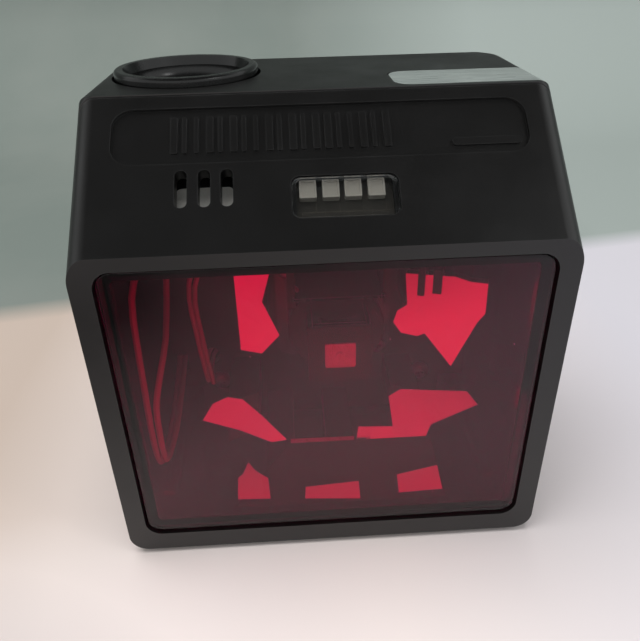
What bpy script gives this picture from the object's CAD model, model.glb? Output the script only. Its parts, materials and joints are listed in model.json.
import json
import math

import bmesh
import bpy
from mathutils import Matrix, Vector


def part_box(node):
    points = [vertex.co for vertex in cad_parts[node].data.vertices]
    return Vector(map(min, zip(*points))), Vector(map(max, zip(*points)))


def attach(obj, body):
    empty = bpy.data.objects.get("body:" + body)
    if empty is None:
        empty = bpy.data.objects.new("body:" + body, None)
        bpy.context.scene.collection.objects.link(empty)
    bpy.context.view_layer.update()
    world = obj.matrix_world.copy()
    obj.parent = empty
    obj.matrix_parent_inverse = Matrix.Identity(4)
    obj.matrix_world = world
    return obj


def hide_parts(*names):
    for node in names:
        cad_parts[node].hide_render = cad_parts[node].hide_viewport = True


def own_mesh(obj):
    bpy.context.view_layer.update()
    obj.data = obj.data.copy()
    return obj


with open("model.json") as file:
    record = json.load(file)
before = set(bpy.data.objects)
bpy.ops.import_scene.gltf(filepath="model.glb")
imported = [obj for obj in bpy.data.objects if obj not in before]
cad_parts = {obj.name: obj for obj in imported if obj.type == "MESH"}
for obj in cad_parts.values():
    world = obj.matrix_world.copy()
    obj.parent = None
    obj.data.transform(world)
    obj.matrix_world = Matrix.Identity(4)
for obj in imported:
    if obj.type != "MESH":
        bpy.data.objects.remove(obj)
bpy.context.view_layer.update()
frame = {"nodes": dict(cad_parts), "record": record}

MM = 0.001
SAME_POINT = 0.001 * MM  # points closer together than this are one point
nodes = frame["nodes"]


# ---- Places, from the frame ----

def solids(node):
    """The points of each separate solid in a CAD node."""
    mesh = bmesh.new()
    mesh.from_mesh(nodes[node].data)
    bmesh.ops.remove_doubles(mesh, verts=mesh.verts, dist=SAME_POINT)
    left = set(mesh.verts)
    groups = []
    while left:
        todo = [left.pop()]
        group = []
        while todo:
            vert = todo.pop()
            group.append(vert.co.copy())
            for edge in vert.link_edges:
                other = edge.other_vert(vert)
                if other in left:
                    left.remove(other)
                    todo.append(other)
        groups.append(group)
    mesh.free()

    def low_corner(group):
        return tuple(round(min(v[i] for v in group), 5) for i in range(3))

    return sorted(groups, key=low_corner)


def corners(group):
    """The low and high corner of a solid's points."""
    return (Vector([min(v[i] for v in group) for i in range(3)]),
            Vector([max(v[i] for v in group) for i in range(3)]))


def unit(along, sign=1):
    """The unit vector along an axis, which is given by its number, or against it."""
    return Vector([sign if i == along else 0 for i in range(3)])


def turned(group):
    """The place, way and sizes of a round solid that is longer than it is wide, with its head up.

    Gives a matrix from local space (Z up, the head's top at 0), then its length, the radius
    and height of its head, and the radius of its tip."""
    low, high = corners(group)
    size = high - low
    along = max(range(3), key=lambda i: size[i])
    middle = (low + high) / 2
    radii = [(v - middle).cross(unit(along)).length for v in group]
    head_r = max(radii)
    head = [v[along] for v, r in zip(group, radii) if r > 0.95 * head_r]
    head_up = sum(head) / len(head) > middle[along]
    tip = low[along] if head_up else high[along]
    tip_r = max(r for v, r in zip(group, radii) if abs(v[along] - tip) < 0.01 * MM)
    way = unit(along, 1 if head_up else -1)
    top = middle + way * size[along] / 2
    place = Matrix.Translation(top) @ way.to_track_quat("Z", "Y").to_matrix().to_4x4()
    return place, size[along], head_r, max(head) - min(head), tip_r


# ---- Node trees ----

class Tree:
    """A material's node tree, with short calls for the nodes that the materials share."""

    def __init__(self, name):
        self.material = bpy.data.materials.new(name)
        self.material.use_nodes = True
        self.tree = self.material.node_tree
        self.tree.nodes.clear()
        self.output = self.add("ShaderNodeOutputMaterial")
        self.place = self.add("ShaderNodeTexCoord").outputs["Object"]

    def add(self, kind, **settings):
        node = self.tree.nodes.new(kind)
        for key, value in settings.items():
            setattr(node, key, value)
        return node

    def put(self, socket, value):
        """Links value to socket, or sets it where value is a plain number or colour."""
        if isinstance(value, bpy.types.NodeSocket):
            self.tree.links.new(value, socket)
        elif hasattr(value, "__len__") and len(value) == 3 and len(socket.default_value) == 4:
            socket.default_value = (*value, 1.0)
        else:
            socket.default_value = value

    def axes(self):
        """The X, Y and Z of the place on the object."""
        split = self.add("ShaderNodeSeparateXYZ")
        self.put(split.inputs[0], self.place)
        return split.outputs

    def stretched(self, scale):
        """The place on the object, stretched along the axes."""
        mapping = self.add("ShaderNodeMapping")
        self.put(mapping.inputs["Vector"], self.place)
        self.put(mapping.inputs["Scale"], scale)
        return mapping.outputs["Vector"]

    def noise(self, per_mm, detail=2.0, rough=0.5, place=None):
        node = self.add("ShaderNodeTexNoise")
        self.put(node.inputs["Vector"], place or self.place)
        self.put(node.inputs["Scale"], per_mm / MM)
        self.put(node.inputs["Detail"], detail)
        self.put(node.inputs["Roughness"], rough)
        return node.outputs["Fac"]

    def cells(self, per_mm):
        """The distance to the nearest of many scattered points."""
        node = self.add("ShaderNodeTexVoronoi")
        self.put(node.inputs["Vector"], self.place)
        self.put(node.inputs["Scale"], per_mm / MM)
        return node.outputs["Distance"]

    def waves(self, per_mm, direction, place=None):
        node = self.add("ShaderNodeTexWave", wave_type="BANDS", bands_direction=direction)
        self.put(node.inputs["Vector"], place or self.place)
        self.put(node.inputs["Scale"], per_mm / MM)
        return node.outputs["Fac"]

    def math(self, operation, a, b=0.0, clamp=False):
        node = self.add("ShaderNodeMath", operation=operation, use_clamp=clamp)
        self.put(node.inputs[0], a)
        self.put(node.inputs[1], b)
        return node.outputs[0]

    def vector_math(self, operation, a, b=(0.0, 0.0, 0.0)):
        """The outputs of a sum on vectors: "Vector", and "Value" where it gives a number."""
        node = self.add("ShaderNodeVectorMath", operation=operation)
        self.put(node.inputs[0], a)
        self.put(node.inputs[1], b)
        return node.outputs

    def spread(self, value, from_low, from_high, to_low, to_high):
        """Maps value from one range to another, and clamps it."""
        node = self.add("ShaderNodeMapRange", clamp=True)
        for key, number in zip(("Value", "From Min", "From Max", "To Min", "To Max"),
                               (value, from_low, from_high, to_low, to_high)):
            self.put(node.inputs[key], number)
        return node.outputs[0]

    def mix(self, factor, a, b):
        node = self.add("ShaderNodeMix", data_type="RGBA")
        self.put(node.inputs["Factor"], factor)
        self.put(node.inputs["A"], a)
        self.put(node.inputs["B"], b)
        return node.outputs["Result"]

    def bump(self, height, distance, strength):
        node = self.add("ShaderNodeBump")
        self.put(node.inputs["Height"], height)
        self.put(node.inputs["Distance"], distance)
        self.put(node.inputs["Strength"], strength)
        return node.outputs["Normal"]

    def edges(self, radius):
        """1 along the object's edges and 0 on its faces."""
        gain = 3.0
        bevel = self.add("ShaderNodeBevel", samples=4)
        self.put(bevel.inputs["Radius"], radius)
        face = self.add("ShaderNodeNewGeometry").outputs["Normal"]
        same_way = self.vector_math("DOT_PRODUCT", bevel.outputs["Normal"], face)["Value"]
        turn = self.math("SUBTRACT", 1.0, same_way)
        return self.math("MULTIPLY", turn, gain, clamp=True)

    def principled(self, **values):
        node = self.add("ShaderNodeBsdfPrincipled")
        for key, value in values.items():
            self.put(node.inputs[key.replace("_", " ")], value)
        return node.outputs["BSDF"]

    def finish(self, shader):
        self.put(self.output.inputs["Surface"], shader)
        return self.material


def plus(colour, share):
    """A colour made lighter by a share of the way to white."""
    return tuple(c + (1 - c) * share for c in colour)


def darker(colour, share):
    """A colour made darker, to a share of itself."""
    return tuple(c * share for c in colour)


# ---- Materials ----

def inside_housing(t):
    """1 in a box round the optics, and 0 outside it, with soft sides.

    The box takes in the shells' inner walls, and cuts through their rounded rear corners."""
    half_width = 32.6
    soft = 0.4
    axes = t.axes()
    across = t.math("ABSOLUTE", axes["X"])
    inside = t.spread(across, (half_width - soft) * MM, half_width * MM, 1.0, 0.0)
    for axis, low, high in (("Y", -23.2, 22.4), ("Z", 2.4, 50.0)):
        over_low = t.spread(axes[axis], low * MM, (low + soft) * MM, 0.0, 1.0)
        under_high = t.spread(axes[axis], (high - soft) * MM, high * MM, 1.0, 0.0)
        inside = t.math("MULTIPLY", inside, t.math("MULTIPLY", over_low, under_high))
    return inside


def moulded(name, colour, roughness, grain_per_mm=7.0, grain_depth=0.006, wear=0.03,
            specular=0.5, shell=False):
    """Moulded plastic: spark-eroded grain, uneven gloss, specks of dust, and rubbed edges.

    The grain's depth is in mm, and wear is how much lighter a rubbed edge is. A shell is
    polished on the inside, where the optics look along its walls."""
    dust = (0.35, 0.34, 0.32)
    polished = 0.16
    t = Tree(name)
    grain = t.noise(grain_per_mm, detail=3.0)
    pits = t.cells(grain_per_mm * 1.3)
    patches = t.noise(0.09, detail=4.0, rough=0.6)
    rubbed = t.math("MULTIPLY", t.edges(0.3 * MM), t.spread(patches, 0.35, 0.7, 0.3, 1.0))
    fleck = t.spread(grain, 0.55, 0.8, 0.0, 0.3)
    speck = t.spread(t.cells(0.09), 0.006, 0.011, 1.0, 0.0)
    body = t.mix(fleck, colour, plus(colour, 0.02))
    body = t.mix(t.math("MULTIPLY", rubbed, 0.8), body, plus(colour, wear))
    body = t.mix(t.math("MULTIPLY", speck, 0.5), body, dust)
    gloss = t.spread(patches, 0.3, 0.7, roughness - 0.05, roughness + 0.06)
    gloss = t.math("ADD", gloss, t.spread(grain, 0.3, 0.7, -0.04, 0.04))
    gloss = t.math("SUBTRACT", gloss, t.math("MULTIPLY", rubbed, 0.12))
    height = t.math("ADD", grain, t.math("MULTIPLY", pits, 0.6))
    if shell:
        inside = inside_housing(t)
        outside = t.math("SUBTRACT", 1.0, inside)
        gloss = t.math("ADD", t.math("MULTIPLY", gloss, outside),
                       t.math("MULTIPLY", inside, polished))
        height = t.math("MULTIPLY", height, outside)
    return t.finish(t.principled(Base_Color=body, Roughness=gloss, Specular_IOR_Level=specular,
                                 Normal=t.bump(height, grain_depth * MM, 0.7)))


def tinted_glass(name, tint, lamp_tint, roughness=0.015):
    """A coloured filter pane. Lamps reach through it, so what is behind it is lit."""
    t = Tree(name)
    smears = t.noise(0.12, detail=5.0, rough=0.65, place=t.stretched((1.0, 1.0, 0.35)))
    dust = t.spread(t.cells(0.2), 0.012, 0.025, 0.35, 0.0)
    gloss = t.math("ADD", t.spread(smears, 0.35, 0.75, roughness, roughness + 0.05), dust)
    ripple = t.bump(t.noise(0.05, detail=1.0), 0.01 * MM, 0.25)
    glass = t.principled(Base_Color=tint, Roughness=gloss, Normal=ripple,
                         Transmission_Weight=1.0, IOR=1.46)
    clear = t.add("ShaderNodeBsdfTransparent")
    t.put(clear.inputs["Color"], lamp_tint)
    both = t.add("ShaderNodeMixShader")
    t.put(both.inputs[0], t.add("ShaderNodeLightPath").outputs["Is Shadow Ray"])
    t.put(both.inputs[1], glass)
    t.put(both.inputs[2], clear.outputs[0])
    return t.finish(both.outputs[0])


def clear_plastic(name, tint):
    """Clear moulded plastic that lets lamps through."""
    return tinted_glass(name, tint, tint, roughness=0.04)


def mirror_glass(name):
    """Front-surface mirror: bright metal film with faint smears and a ground edge."""
    film = (0.93, 0.94, 0.95)
    ground = (0.55, 0.6, 0.6)
    t = Tree(name)
    smears = t.spread(t.noise(0.2, detail=5.0, rough=0.7), 0.4, 0.8, 0.004, 0.03)
    edge = t.edges(0.2 * MM)
    gloss = t.math("ADD", smears, t.math("MULTIPLY", edge, 0.4))
    return t.finish(t.principled(Base_Color=t.mix(edge, film, ground), Metallic=1.0,
                                 Roughness=gloss))


def metal(name, colour, roughness, streak=(1, 1, 1), streak_per_mm=6.0):
    """Machined or plated metal with fine tool marks and duller patches."""
    t = Tree(name)
    marks = t.noise(streak_per_mm, detail=3.0, place=t.stretched(streak))
    patches = t.noise(0.4, detail=3.0)
    edge = t.edges(0.15 * MM)
    body = t.mix(t.spread(patches, 0.3, 0.75, 0.0, 0.35), colour, darker(colour, 0.7))
    body = t.mix(t.math("MULTIPLY", edge, 0.6), body, plus(colour, 0.4))
    gloss = t.math("ADD", t.spread(marks, 0.3, 0.7, roughness - 0.08, roughness + 0.1),
                   t.spread(patches, 0.4, 0.8, 0.0, 0.08))
    return t.finish(t.principled(Base_Color=body, Metallic=1.0, Roughness=gloss,
                                 Normal=t.bump(marks, 0.004 * MM, 0.6)))


def rubber(name, colour, roughness):
    """Dull black rubber, foam or ferrite with a fine skin."""
    t = Tree(name)
    skin = t.noise(4.0, detail=4.0, rough=0.6)
    pores = t.spread(t.cells(2.5), 0.0, 0.35, 0.0, 1.0)
    body = t.mix(t.spread(skin, 0.5, 0.8, 0.0, 0.5), colour, plus(colour, 0.04))
    height = t.math("ADD", skin, t.math("MULTIPLY", pores, 0.5))
    return t.finish(t.principled(Base_Color=body, Normal=t.bump(height, 0.02 * MM, 0.8),
                                 Roughness=t.spread(skin, 0.3, 0.7, roughness, 0.95)))


def circuit_board(name, mask, track):
    """Solder mask over copper tracks and plated holes."""
    t = Tree(name)
    tracks = t.add("ShaderNodeTexBrick", offset=0.37, squash=1.0)
    t.put(tracks.inputs["Vector"], t.place)
    t.put(tracks.inputs["Scale"], 0.16 / MM)
    t.put(tracks.inputs["Mortar Size"], 0.012)
    t.put(tracks.inputs["Mortar Smooth"], 0.2)
    holes = t.spread(t.cells(0.45), 0.04, 0.07, 1.0, 0.0)
    copper = t.math("MAXIMUM", tracks.outputs["Fac"], holes)
    body = t.mix(copper, mask, track)
    mottle = t.spread(t.noise(0.6, detail=3.0), 0.4, 0.7, 0.0, 0.3)
    return t.finish(t.principled(Base_Color=t.mix(mottle, body, darker(mask, 0.6)),
                                 Coat_Weight=0.6, Coat_Roughness=0.12,
                                 Roughness=t.spread(t.noise(1.5), 0.3, 0.7, 0.28, 0.42),
                                 Normal=t.bump(copper, 0.03 * MM, 0.7)))


def flat_lead(name):
    """Amber film over side-by-side copper strips."""
    film = (0.5, 0.2, 0.035)
    copper = (0.62, 0.3, 0.1)
    dull = (0.35, 0.14, 0.03)
    t = Tree(name)
    strips = t.spread(t.waves(0.32, "X"), 0.45, 0.6, 0.0, 1.0)
    worn = t.spread(t.noise(0.8, detail=3.0), 0.45, 0.7, 0.0, 0.4)
    return t.finish(t.principled(Base_Color=t.mix(worn, t.mix(strips, film, copper), dull),
                                 Roughness=t.spread(t.noise(2.0), 0.3, 0.7, 0.2, 0.35),
                                 Normal=t.bump(strips, 0.02 * MM, 0.6)))


def label_stock(name):
    """Silver label film with fine printed rules running along it.

    The rules lie across Y + Z, so they cross a level label and an upright one alike."""
    dark_film = (0.27, 0.31, 0.295)
    pale_film = (0.46, 0.51, 0.48)
    ink = (0.13, 0.15, 0.15)
    t = Tree(name)
    across = t.vector_math("DOT_PRODUCT", t.place, (0.0, 1.0, 1.0))["Value"]
    rules = t.spread(t.waves(0.42, "X", place=across), 0.62, 0.8, 0.0, 1.0)
    gaps = t.noise(0.25, detail=3.0, place=t.stretched((1.0, 6.0, 6.0)))
    printed = t.math("MULTIPLY", rules, t.spread(gaps, 0.42, 0.5, 0.0, 1.0))
    brushed = t.noise(3.0, detail=3.0, place=t.stretched((0.05, 1.0, 1.0)))
    film = t.mix(t.spread(brushed, 0.3, 0.7, 0.0, 1.0), dark_film, pale_film)
    body = t.mix(t.math("MULTIPLY", printed, 0.5), film, ink)
    return t.finish(t.principled(Base_Color=body, Metallic=0.35,
                                 Roughness=t.spread(brushed, 0.3, 0.7, 0.26, 0.42),
                                 Normal=t.bump(brushed, 0.006 * MM, 0.5)))


def felt(name, colour):
    """Pale pressed felt."""
    t = Tree(name)
    fibres = t.noise(5.0, detail=5.0, rough=0.7, place=t.stretched((1.0, 0.4, 0.4)))
    body = t.mix(t.spread(fibres, 0.3, 0.7, 0.0, 1.0), colour, plus(colour, 0.25))
    return t.finish(t.principled(Base_Color=body, Roughness=0.95,
                                 Normal=t.bump(fibres, 0.05 * MM, 0.8)))


def copper_wire(name):
    """Turns of enamelled wire, side by side."""
    between = (0.25, 0.07, 0.025)
    enamel = (0.72, 0.27, 0.11)
    t = Tree(name)
    turns = t.waves(1.6, "Y")
    return t.finish(t.principled(Base_Color=t.mix(turns, between, enamel), Metallic=0.85,
                                 Roughness=t.spread(t.noise(1.0), 0.3, 0.7, 0.22, 0.36),
                                 Normal=t.bump(turns, 0.05 * MM, 0.9)))


# The look of each material slot: what makes it, and with which values
LOOKS = {
    "housing_plastic": (moulded, dict(colour=(0.0036, 0.0034, 0.0033), roughness=0.37,
                                      specular=0.6, shell=True)),
    "button_plastic": (moulded, dict(colour=(0.004, 0.004, 0.004), roughness=0.24,
                                     grain_per_mm=9.0, grain_depth=0.002)),
    "inner_plastic": (moulded, dict(colour=(0.004, 0.0035, 0.0035), roughness=0.4,
                                    grain_per_mm=12.0, grain_depth=0.002, wear=0.01,
                                    specular=0.3)),
    "black_part": (moulded, dict(colour=(0.014, 0.014, 0.015), roughness=0.38,
                                 grain_per_mm=6.0, wear=0.05)),
    "pale_plastic": (moulded, dict(colour=(0.62, 0.62, 0.58), roughness=0.3,
                                   grain_per_mm=5.0, grain_depth=0.004, wear=0.1)),
    "pale_felt": (felt, dict(colour=(0.78, 0.76, 0.7))),
    "black_foam": (rubber, dict(colour=(0.006, 0.006, 0.006), roughness=0.85)),
    "foot_rubber": (rubber, dict(colour=(0.018, 0.018, 0.018), roughness=0.7)),
    "red_window": (tinted_glass, dict(tint=(0.88, 0.035, 0.22), lamp_tint=(0.93, 0.18, 0.45))),
    "clear_lens": (clear_plastic, dict(tint=(0.86, 0.88, 0.88))),
    "white_lamp": (moulded, dict(colour=(0.3, 0.27, 0.235), roughness=0.4,
                                 grain_per_mm=6.0, grain_depth=0.004, wear=0.1)),
    "circuit_board": (circuit_board, dict(mask=(0.012, 0.085, 0.04), track=(0.04, 0.2, 0.09))),
    "dark_board": (circuit_board, dict(mask=(0.03, 0.026, 0.022), track=(0.05, 0.042, 0.034))),
    "flat_lead": (flat_lead, {}),
    "wire_cover": (moulded, dict(colour=(0.42, 0.4, 0.37), roughness=0.4,
                                 grain_per_mm=3.0, grain_depth=0.003, wear=0.05)),
    "silver_label": (label_stock, {}),
    "glass_mirror": (mirror_glass, {}),
    "steel_screw": (metal, dict(colour=(0.34, 0.345, 0.36), roughness=0.34)),
    "spring_steel": (metal, dict(colour=(0.5, 0.51, 0.53), roughness=0.27, streak=(1, 1, 4))),
    "laminated_steel": (metal, dict(colour=(0.2, 0.2, 0.21), roughness=0.4,
                                    streak=(0.1, 8, 0.1), streak_per_mm=1.5)),
    "magnet": (rubber, dict(colour=(0.035, 0.035, 0.037), roughness=0.55)),
    "blackened_steel": (metal, dict(colour=(0.03, 0.03, 0.032), roughness=0.4,
                                    streak=(0.2, 6, 0.2), streak_per_mm=3.0)),
    "brass": (metal, dict(colour=(0.58, 0.41, 0.16), roughness=0.26,
                          streak=(0.3, 0.3, 5), streak_per_mm=4.0)),
    "gold_contact": (metal, dict(colour=(0.76, 0.55, 0.2), roughness=0.2)),
    "copper_wire": (copper_wire, {}),
}
MATERIALS = {slot: make(slot, **values) for slot, (make, values) in LOOKS.items()}


def paint(piece, slot):
    """Gives a piece the material of one slot."""
    piece.data.materials.clear()
    piece.data.materials.append(MATERIALS[slot])


def paint_nodes():
    """Gives each CAD node the material of its slot in the record."""
    for entry in frame["record"]["subparts"]:
        paint(nodes[entry["node"]], entry["material_slot"])


# ---- Finer edges on the CAD nodes ----

# How wide the rounded edges of these nodes are, in mm
EDGE_WIDTHS = {
    "front_cover": 0.12, "rear_housing": 0.12, "window_pane": 0.15, "led_lens": 0.1,
    "feet": 0.06, "data_jack": 0.15, "leds": 0.1, "polygon_block": 0.15, "polygon_clip": 0.08,
    "optical_chassis": 0.12, "top_label": 0.04, "rear_label": 0.04, "window_gasket": 0.1,
    "main_board_parts": 0.12, "buzzer": 0.15, "tact_switch": 0.08, "laser_barrel": 0.1,
    "rotor_cup": 0.1,
}


def soften(node, width):
    """Rounds a CAD node's hard edges by modifiers, which leave its own mesh as it is."""
    piece = nodes[node]
    weld = piece.modifiers.new("weld", "WELD")
    weld.merge_threshold = SAME_POINT
    flat = piece.modifiers.new("flat_faces", "DECIMATE")
    flat.decimate_type = "DISSOLVE"
    flat.angle_limit = math.radians(0.4)
    bevel = piece.modifiers.new("edges", "BEVEL")
    bevel.limit_method = "ANGLE"
    bevel.angle_limit = math.radians(30)
    bevel.width = width
    bevel.segments = 2
    bevel.miter_outer = "MITER_ARC"
    bevel.use_clamp_overlap = True
    normals = piece.modifiers.new("normals", "WEIGHTED_NORMAL")
    normals.keep_sharp = False
    normals.weight = 60


# ---- Finer pieces in the place of plain CAD nodes ----

SHARP = 35.0  # degrees; edges that turn by more than this stay sharp
STEPS_PER_TURN = 8  # rings in one turn of a thread


def skin_faces(count, n, first=0, closed=False):
    """Faces over count rings of n points each, which start at point number first.

    The skin's ends are flat, or its last ring is joined to its first."""
    faces = []
    for i in range(count if closed else count - 1):
        here = first + i * n
        after = first + (i + 1) % count * n
        faces += [(here + k, here + (k + 1) % n, after + (k + 1) % n, after + k)
                  for k in range(n)]
    if not closed:
        last = first + (count - 1) * n
        faces.append(tuple(range(first, first + n))[::-1])
        faces.append(tuple(range(last, last + n)))
    return faces


def ring_mesh(name, rings, closed=False, sharp=SHARP):
    """A smooth skin over rings of points that follow each other."""
    mesh = bpy.data.meshes.new(name)
    points = [point for ring in rings for point in ring]
    mesh.from_pydata(points, [], skin_faces(len(rings), len(rings[0]), closed=closed))
    mesh.polygons.foreach_set("use_smooth", [True] * len(mesh.polygons))
    mesh.set_sharp_from_angle(angle=math.radians(sharp))
    return mesh


def circle(radius, z, sides=32):
    """A level ring of points, where radius is a number or a function of the angle."""
    ring = []
    for k in range(sides):
        angle = math.tau * k / sides
        r = radius(angle) if callable(radius) else radius
        ring.append((r * math.cos(angle), r * math.sin(angle), z))
    return ring


def add_piece(name, mesh, body, slot, replaces=None, place=Matrix()):
    """Puts a mesh in the scene as a piece of the object, and hides the CAD node it stands for."""
    piece = bpy.data.objects.new(name, mesh)
    bpy.context.scene.collection.objects.link(piece)
    piece.matrix_world = place
    paint(piece, slot)
    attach(piece, body)
    if replaces:
        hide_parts(replaces)
    return piece


def cut(mesh, tool):
    """The mesh with the tool's shape taken out of it."""
    base = bpy.data.objects.new("base", mesh)
    knife = bpy.data.objects.new("knife", tool)
    for obj in (base, knife):
        bpy.context.scene.collection.objects.link(obj)
    step = base.modifiers.new("cut", "BOOLEAN")
    step.object = knife
    step.solver = "EXACT"
    step.use_self = True
    depsgraph = bpy.context.evaluated_depsgraph_get()
    result = bpy.data.meshes.new_from_object(base.evaluated_get(depsgraph))
    bpy.data.objects.remove(base)
    bpy.data.objects.remove(knife)
    result.set_sharp_from_angle(angle=math.radians(SHARP))
    return result


def cross_tool(reach, half_width, depth):
    """Two crossed wedges that narrow downwards from just over Z 0."""
    over = 0.1 * MM
    top_share, low_share = 1.1, 0.45  # of the reach, at the wedge's two ends
    tool = bmesh.new()
    for turn in (0, 90):
        matrix = Matrix.Rotation(math.radians(turn), 4, "Z")
        rings = []
        for z, share in ((over, top_share), (-depth, low_share)):
            x = reach * share
            y = half_width * (0.6 + 0.4 * share)
            rings.append([tool.verts.new(matrix @ Vector((a * x, b * y, z)))
                          for a, b in ((-1, -1), (1, -1), (1, 1), (-1, 1))])
        top, low = rings
        tool.faces.new(top)
        tool.faces.new(low[::-1])
        for k in range(4):
            tool.faces.new((top[(k + 1) % 4], top[k], low[k], low[(k + 1) % 4]))
    mesh = bpy.data.meshes.new("cross_tool")
    tool.to_mesh(mesh)
    tool.free()
    return mesh


def thread_radius(z, pitch, depth, outer):
    """A function of the angle: the radius of a helical thread's surface at height z."""
    flank = 2.2  # above 1, it leaves a flat crest

    def radius(angle):
        phase = (z / pitch + angle / math.tau) % 1.0
        ridge = min(1.0, flank * abs(2 * phase - 1))
        return outer - depth * (1 - ridge)

    return radius


def thread_rings(low, high, pitch, depth, outer, sides=32):
    """The rings of a helical thread, from low up to high. A negative depth cuts outwards."""
    rings = []
    z = low
    while z < high:
        rings.append(circle(thread_radius(z, pitch, depth, outer), z, sides))
        z += pitch / STEPS_PER_TURN
    return rings


def screw_mesh(name, length, head_r, head_h, shank_r):
    """A pan-head screw with a cross recess and a rolled thread; its head's top is at Z 0."""
    pitch = 0.55 * shank_r
    depth = 0.14 * shank_r
    runout = 0.6 * shank_r
    # Shares of the head's radius and height, from its underside to its top
    head_profile = [(0.97, 1.0), (1.0, 0.92), (1.0, 0.6), (0.97, 0.4), (0.88, 0.2),
                    (0.72, 0.07), (0.5, 0.0)]
    rings = [circle(0.35 * shank_r, -length), circle(0.8 * shank_r, -length + 0.35 * shank_r)]
    rings += thread_rings(-length + 0.5 * shank_r, -head_h - runout, pitch, depth, shank_r)
    rings.append(circle(shank_r - depth, -head_h - runout / 2))
    rings.append(circle(shank_r - depth, -head_h))
    rings += [circle(head_r * wide, -head_h * high) for wide, high in head_profile]
    recess = cross_tool(reach=0.58 * head_r, half_width=0.12 * head_r, depth=0.62 * head_h)
    return cut(ring_mesh(name, rings), recess)


def add_screws():
    """Threaded screws in the places of the CAD's plain ones."""
    for node in ("case_screws", "chassis_screws", "carrier_screws", "switch_board_screws",
                 "motor_screws", "board_screws"):
        mesh = None
        for i, group in enumerate(solids(node)):
            place, *sizes = turned(group)
            mesh = mesh or screw_mesh(node, *sizes)
            add_piece(f"{node}_{i + 1}", mesh, "housing", "steel_screw", node, place)


def insert_mesh(length, outer, bore):
    """A knurled brass insert with a threaded bore; one end is at Z 0."""
    sides = 48
    ridges = 24
    knurl = 0.12 * MM
    pitch = 0.5 * MM
    thread = 0.18 * MM
    plain = outer - 0.3 * MM
    collar = 0.25 * MM
    collar_slope = 0.05 * MM
    tip = 0.1 * MM
    groove_top, groove_low = 0.47 * length, 0.55 * length
    groove_slope = 0.02 * length

    def knurled(angle):
        return outer - knurl * abs(math.sin(ridges / 2 * angle))

    # Depth below the top, and radius, down the outside
    outside = [(0.0, plain), (collar, plain), (collar + collar_slope, knurled),
               (groove_top - groove_slope, knurled), (groove_top, plain), (groove_low, plain),
               (groove_low + groove_slope, knurled), (length - tip, knurled), (length, plain)]
    rings = [circle(radius, -depth, sides) for depth, radius in outside]
    rings += thread_rings(-length, -tip, pitch, -thread, bore, sides)
    rings.append(circle(bore + 1.2 * thread, 0.0, sides))
    return ring_mesh("threaded_insert", rings[::-1], closed=True)


def add_inserts():
    """Knurled inserts in the places of the CAD's plain sleeves."""
    bore = 1.25 * MM
    face_rear = Matrix.Rotation(math.radians(-90), 4, "X")
    mesh = None
    for i, group in enumerate(solids("threaded_inserts")):
        low, high = corners(group)
        mesh = mesh or insert_mesh(high.y - low.y, (high.x - low.x) / 2, bore)
        rear = Matrix.Translation(((low.x + high.x) / 2, high.y, (low.z + high.z) / 2))
        add_piece(f"threaded_insert_{i + 1}", mesh, "housing", "brass", "threaded_inserts",
                  rear @ face_rear)


def add_spring():
    """A smooth coil with closed ends, which shortens as the button goes down."""
    low, high = (Vector(corner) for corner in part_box("button_spring"))
    wire_r = 0.3 * MM
    turns, steps, sides = 5.0, 40, 12
    flat_end = 0.12  # the share of the wire that lies flat at each end
    coil_r = (high.x - low.x) / 2 - wire_r
    rise = high.z - low.z - 2 * wire_r
    centre = Vector(((low.x + high.x) / 2, (low.y + high.y) / 2, low.z + wire_r))
    rings = []
    for i in range(int(turns * steps) + 1):
        share = i / (turns * steps)
        angle = math.tau * turns * share
        lift = rise * min(max((share - flat_end) / (1 - 2 * flat_end), 0.0), 1.0)
        outward = Vector((math.cos(angle), math.sin(angle), 0))
        ring = []
        for k in range(sides):
            round_wire = math.tau * k / sides
            ring.append(centre + outward * (coil_r + wire_r * math.cos(round_wire))
                        + Vector((0, 0, lift + wire_r * math.sin(round_wire))))
        rings.append(ring[::-1])
    mesh = ring_mesh("button_spring_coil", rings, sharp=60)
    spring = add_piece("button_spring_coil", mesh, "housing", "spring_steel", "button_spring")
    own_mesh(spring)


def leg_rings(start, side, drop):
    """A chip's leg: out from start, down by drop, and out along the board."""
    half_width, half_thick = 0.15 * MM, 0.06 * MM
    knee, ankle, toe = 0.35 * MM, 0.5 * MM, 0.9 * MM
    run = [(0.0, 0.0), (knee, 0.0), (ankle, -drop), (toe, -drop)]
    # The way through the leg's thickness at each of those points
    lean = [(0.0, 1.0), (0.6, 0.8), (0.6, 0.8), (0.0, 1.0)]
    rings = []
    for (out, up), (across, above) in zip(run, lean):
        ring = []
        for a, b in ((-1, -1), (1, -1), (1, 1), (-1, 1)):
            ring.append(start + Vector((side * (out + b * across * half_thick),
                                        up + b * above * half_thick, a * half_width)))
        rings.append(ring[::-1] if side > 0 else ring)
    return rings


def add_chip_legs():
    """Bent legs along two sides of each chip on the rear of the main board."""
    board_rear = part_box("main_board")[1][1]
    pitch = 0.8 * MM
    foot_height = 0.07 * MM
    block_points = 8  # the chips are plain blocks, and parts with more points aren't chips
    legs = []
    for group in solids("main_board_parts"):
        low, high = corners(group)
        if low.y < board_rear - 0.01 * MM or len(group) > block_points:
            continue
        height = (high.y - low.y) / 2
        count = int((high.z - low.z) / pitch) - 1
        for side, x in ((-1, low.x), (1, high.x)):
            for i in range(count + 1):
                z = (low.z + high.z) / 2 + (i - count / 2) * pitch
                start = Vector((x, low.y + height, z))
                legs.append(leg_rings(start, side, height - foot_height))
    points, faces = [], []
    for rings in legs:
        faces += skin_faces(len(rings), len(rings[0]), first=len(points))
        points += [point for ring in rings for point in ring]
    mesh = bpy.data.meshes.new("chip_legs")
    mesh.from_pydata(points, [], faces)
    add_piece("chip_legs", mesh, "housing", "spring_steel")


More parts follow.
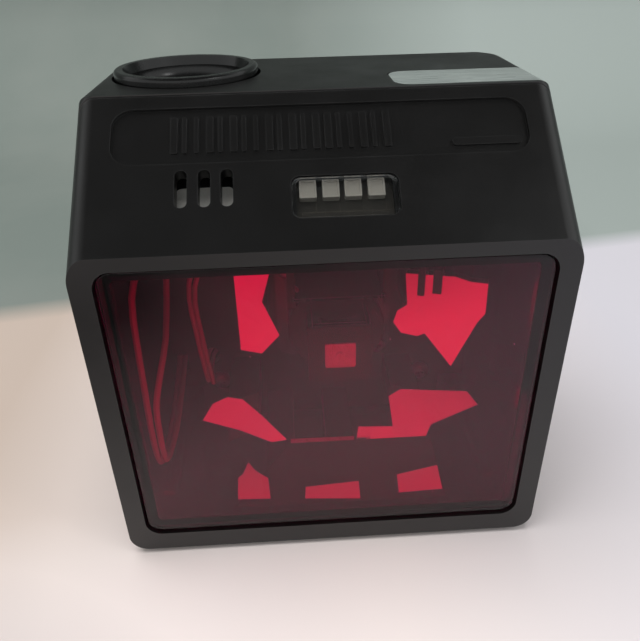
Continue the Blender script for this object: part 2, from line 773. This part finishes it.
# ---- Floor, light and camera ----

SKY_LOW = 0.75  # how much brighter the sky is low down
SKY_TOP = 0.045  # the brightness overhead


def blob(t, middle, squeeze, inner, outer):
    """1 inside a soft oval on the floor and 0 outside it."""
    step = t.vector_math("SUBTRACT", t.place, (*middle, 0.0))["Vector"]
    scaled = t.vector_math("MULTIPLY", step, (*squeeze, 1.0))["Vector"]
    length = t.vector_math("LENGTH", scaled)["Value"]
    return t.spread(length, inner, outer, 1.0, 0.0)


def floor_colour(t, patches):
    """A pale table top: tan at the left, cool at the right, and shaded in two places in front."""
    axes = t.axes()
    pale = t.mix(t.spread(patches, 0.35, 0.7, 0.0, 1.0), (0.86, 0.77, 0.75), (0.92, 0.82, 0.79))
    cool = t.spread(axes["X"], 0.01, 0.08, 0.0, 0.9)
    pale = t.mix(cool, pale, (0.68, 0.66, 0.72))
    warm = t.math("MULTIPLY", t.spread(axes["X"], -0.02, -0.07, 0.0, 1.0),
                  t.spread(axes["Y"], -0.045, -0.015, 0.0, 1.0))
    pale = t.mix(warm, pale, (0.6, 0.49, 0.42))
    left_shade = blob(t, (-0.068, -0.115), (1.2, 1.0), 0.02, 0.09)
    far_shade = blob(t, (-0.03, -0.15), (0.6, 1.0), 0.01, 0.075)
    shade = t.math("MAXIMUM", left_shade, t.math("MULTIPLY", far_shade, 0.9))
    return t.mix(shade, pale, (0.1, 0.09, 0.09))


def wall_colour(t, patches):
    """A grey-green wall, paler on the right and darker high up."""
    axes = t.axes()
    wall = t.mix(t.spread(patches, 0.4, 0.65, 0.0, 1.0), (0.215, 0.25, 0.228), (0.25, 0.28, 0.256))
    wall = t.mix(t.spread(axes["X"], 0.0, 0.1, 0.0, 1.0), wall, (0.4, 0.45, 0.425))
    return t.mix(t.spread(axes["Z"], 0.05, 0.15, 0.1, 0.8), wall, (0.05, 0.06, 0.055))


def painted_floor():
    """The floor's material: a table top, and the wall from its slightly turned far edge on."""
    table_end = 0.070
    edge_turn = 0.17
    blur = 0.011
    t = Tree("pale_floor")
    patches = t.noise(0.012, detail=4.0)
    axes = t.axes()
    depth = t.math("SUBTRACT", axes["Y"], t.math("MULTIPLY", axes["X"], edge_turn))
    behind = t.spread(depth, table_end, table_end + blur, 0.0, 1.0)
    colour = t.mix(behind, floor_colour(t, patches), wall_colour(t, patches))
    return t.finish(t.principled(Base_Color=colour, Roughness=0.6,
                                 Normal=t.bump(t.noise(0.5, detail=1.0), 0.01 * MM, 0.1)))


def add_floor():
    """A pale floor that curves up into a soft grey-green wall behind the object."""
    half, near, far, bend, top = 1.2, -1.4, 0.3, 0.1, 0.36
    line = [(near, 0.0), (far - bend, 0.0)]
    steps = 16
    for i in range(1, steps + 1):
        angle = math.radians(90 * i / steps)
        line.append((far - bend + bend * math.sin(angle), bend - bend * math.cos(angle)))
    line.append((far, top))
    mesh = bpy.data.meshes.new("floor")
    points = [(x, y, z) for x in (-half, half) for y, z in line]
    n = len(line)
    mesh.from_pydata(points, [], [(i, n + i, n + i + 1, i + 1) for i in range(n - 1)])
    mesh.polygons.foreach_set("use_smooth", [True] * len(mesh.polygons))
    floor = bpy.data.objects.new("floor", mesh)
    bpy.context.scene.collection.objects.link(floor)
    mesh.materials.append(painted_floor())


def add_area(name, place, towards, size, watts, mirrored=True):
    """A soft square lamp. One that isn't mirrored doesn't show in gloss or through glass."""
    lamp = bpy.data.lights.new(name, "AREA")
    lamp.size = size
    lamp.energy = watts
    obj = bpy.data.objects.new(name, lamp)
    obj.location = place
    obj.rotation_euler = (Vector(towards) - Vector(place)).to_track_quat("-Z", "Y").to_euler()
    obj.visible_glossy = mirrored
    obj.visible_transmission = mirrored
    bpy.context.scene.collection.objects.link(obj)


def add_sky():
    """A soft studio sky: bright low down, brighter on the right, and dark overhead."""
    world = bpy.data.worlds.new("studio")
    world.use_nodes = True
    tree = world.node_tree
    background = tree.nodes["Background"]

    def step(kind, **settings):
        node = tree.nodes.new(kind)
        for key, value in settings.items():
            setattr(node, key, value)
        return node

    def ramp(value, from_low, from_high, to_low, to_high):
        node = step("ShaderNodeMapRange", clamp=True)
        tree.links.new(value, node.inputs["Value"])
        for key, number in zip(("From Min", "From Max", "To Min", "To Max"),
                               (from_low, from_high, to_low, to_high)):
            node.inputs[key].default_value = number
        return node.outputs[0]

    split = step("ShaderNodeSeparateXYZ")
    tree.links.new(step("ShaderNodeTexCoord").outputs["Generated"], split.inputs[0])
    level = step("ShaderNodeMath", operation="MULTIPLY_ADD")
    tree.links.new(ramp(split.outputs["Z"], 0.64, 0.84, SKY_LOW, 0.0), level.inputs[0])
    tree.links.new(ramp(split.outputs["X"], -0.6, 0.7, 0.9, 1.02), level.inputs[1])
    level.inputs[2].default_value = SKY_TOP
    tree.links.new(level.outputs[0], background.inputs["Strength"])
    background.inputs["Color"].default_value = (0.98, 1.0, 1.0, 1)
    bpy.context.scene.world = world


def add_lights():
    """Soft overhead light from the left, a small bright lamp on the right, and the sky."""
    aim = (0, 0, 0.03)
    add_area("overhead", (-0.15, -0.02, 0.75), aim, size=0.6, watts=5.4, mirrored=False)
    add_area("glint", (0.45, -0.3, 0.6), aim, size=0.1, watts=0.35)
    add_sky()


def add_camera():
    """Looks down at the front from a little left of the middle."""
    place = (-4.67 * MM, -100.44 * MM, 89.66 * MM)
    turn_right, look_down, lean = 2.53, 30.92, -1.436
    camera = bpy.data.cameras.new("camera")
    camera.lens = 36.24
    camera.sensor_width = 36.0
    camera.clip_start = 2 * MM
    camera.clip_end = 10.0
    obj = bpy.data.objects.new("camera", camera)
    turn = (Matrix.Rotation(math.radians(-turn_right), 4, "Z")
            @ Matrix.Rotation(math.radians(90 - look_down), 4, "X")
            @ Matrix.Rotation(math.radians(lean), 4, "Z"))
    obj.matrix_world = Matrix.Translation(place) @ turn
    bpy.context.scene.collection.objects.link(obj)
    bpy.context.scene.camera = obj


# ---- Putting it together ----

paint_nodes()
add_screws()
add_inserts()
add_spring()
add_chip_legs()
for name, width in EDGE_WIDTHS.items():
    soften(name, width * MM)

add_floor()
add_lights()
add_camera()
bpy.context.scene.view_settings.view_transform = "Standard"


# ---- Size and finish ----

def plain(box):
    return [[round(float(x), 6) for x in corner] for corner in box]
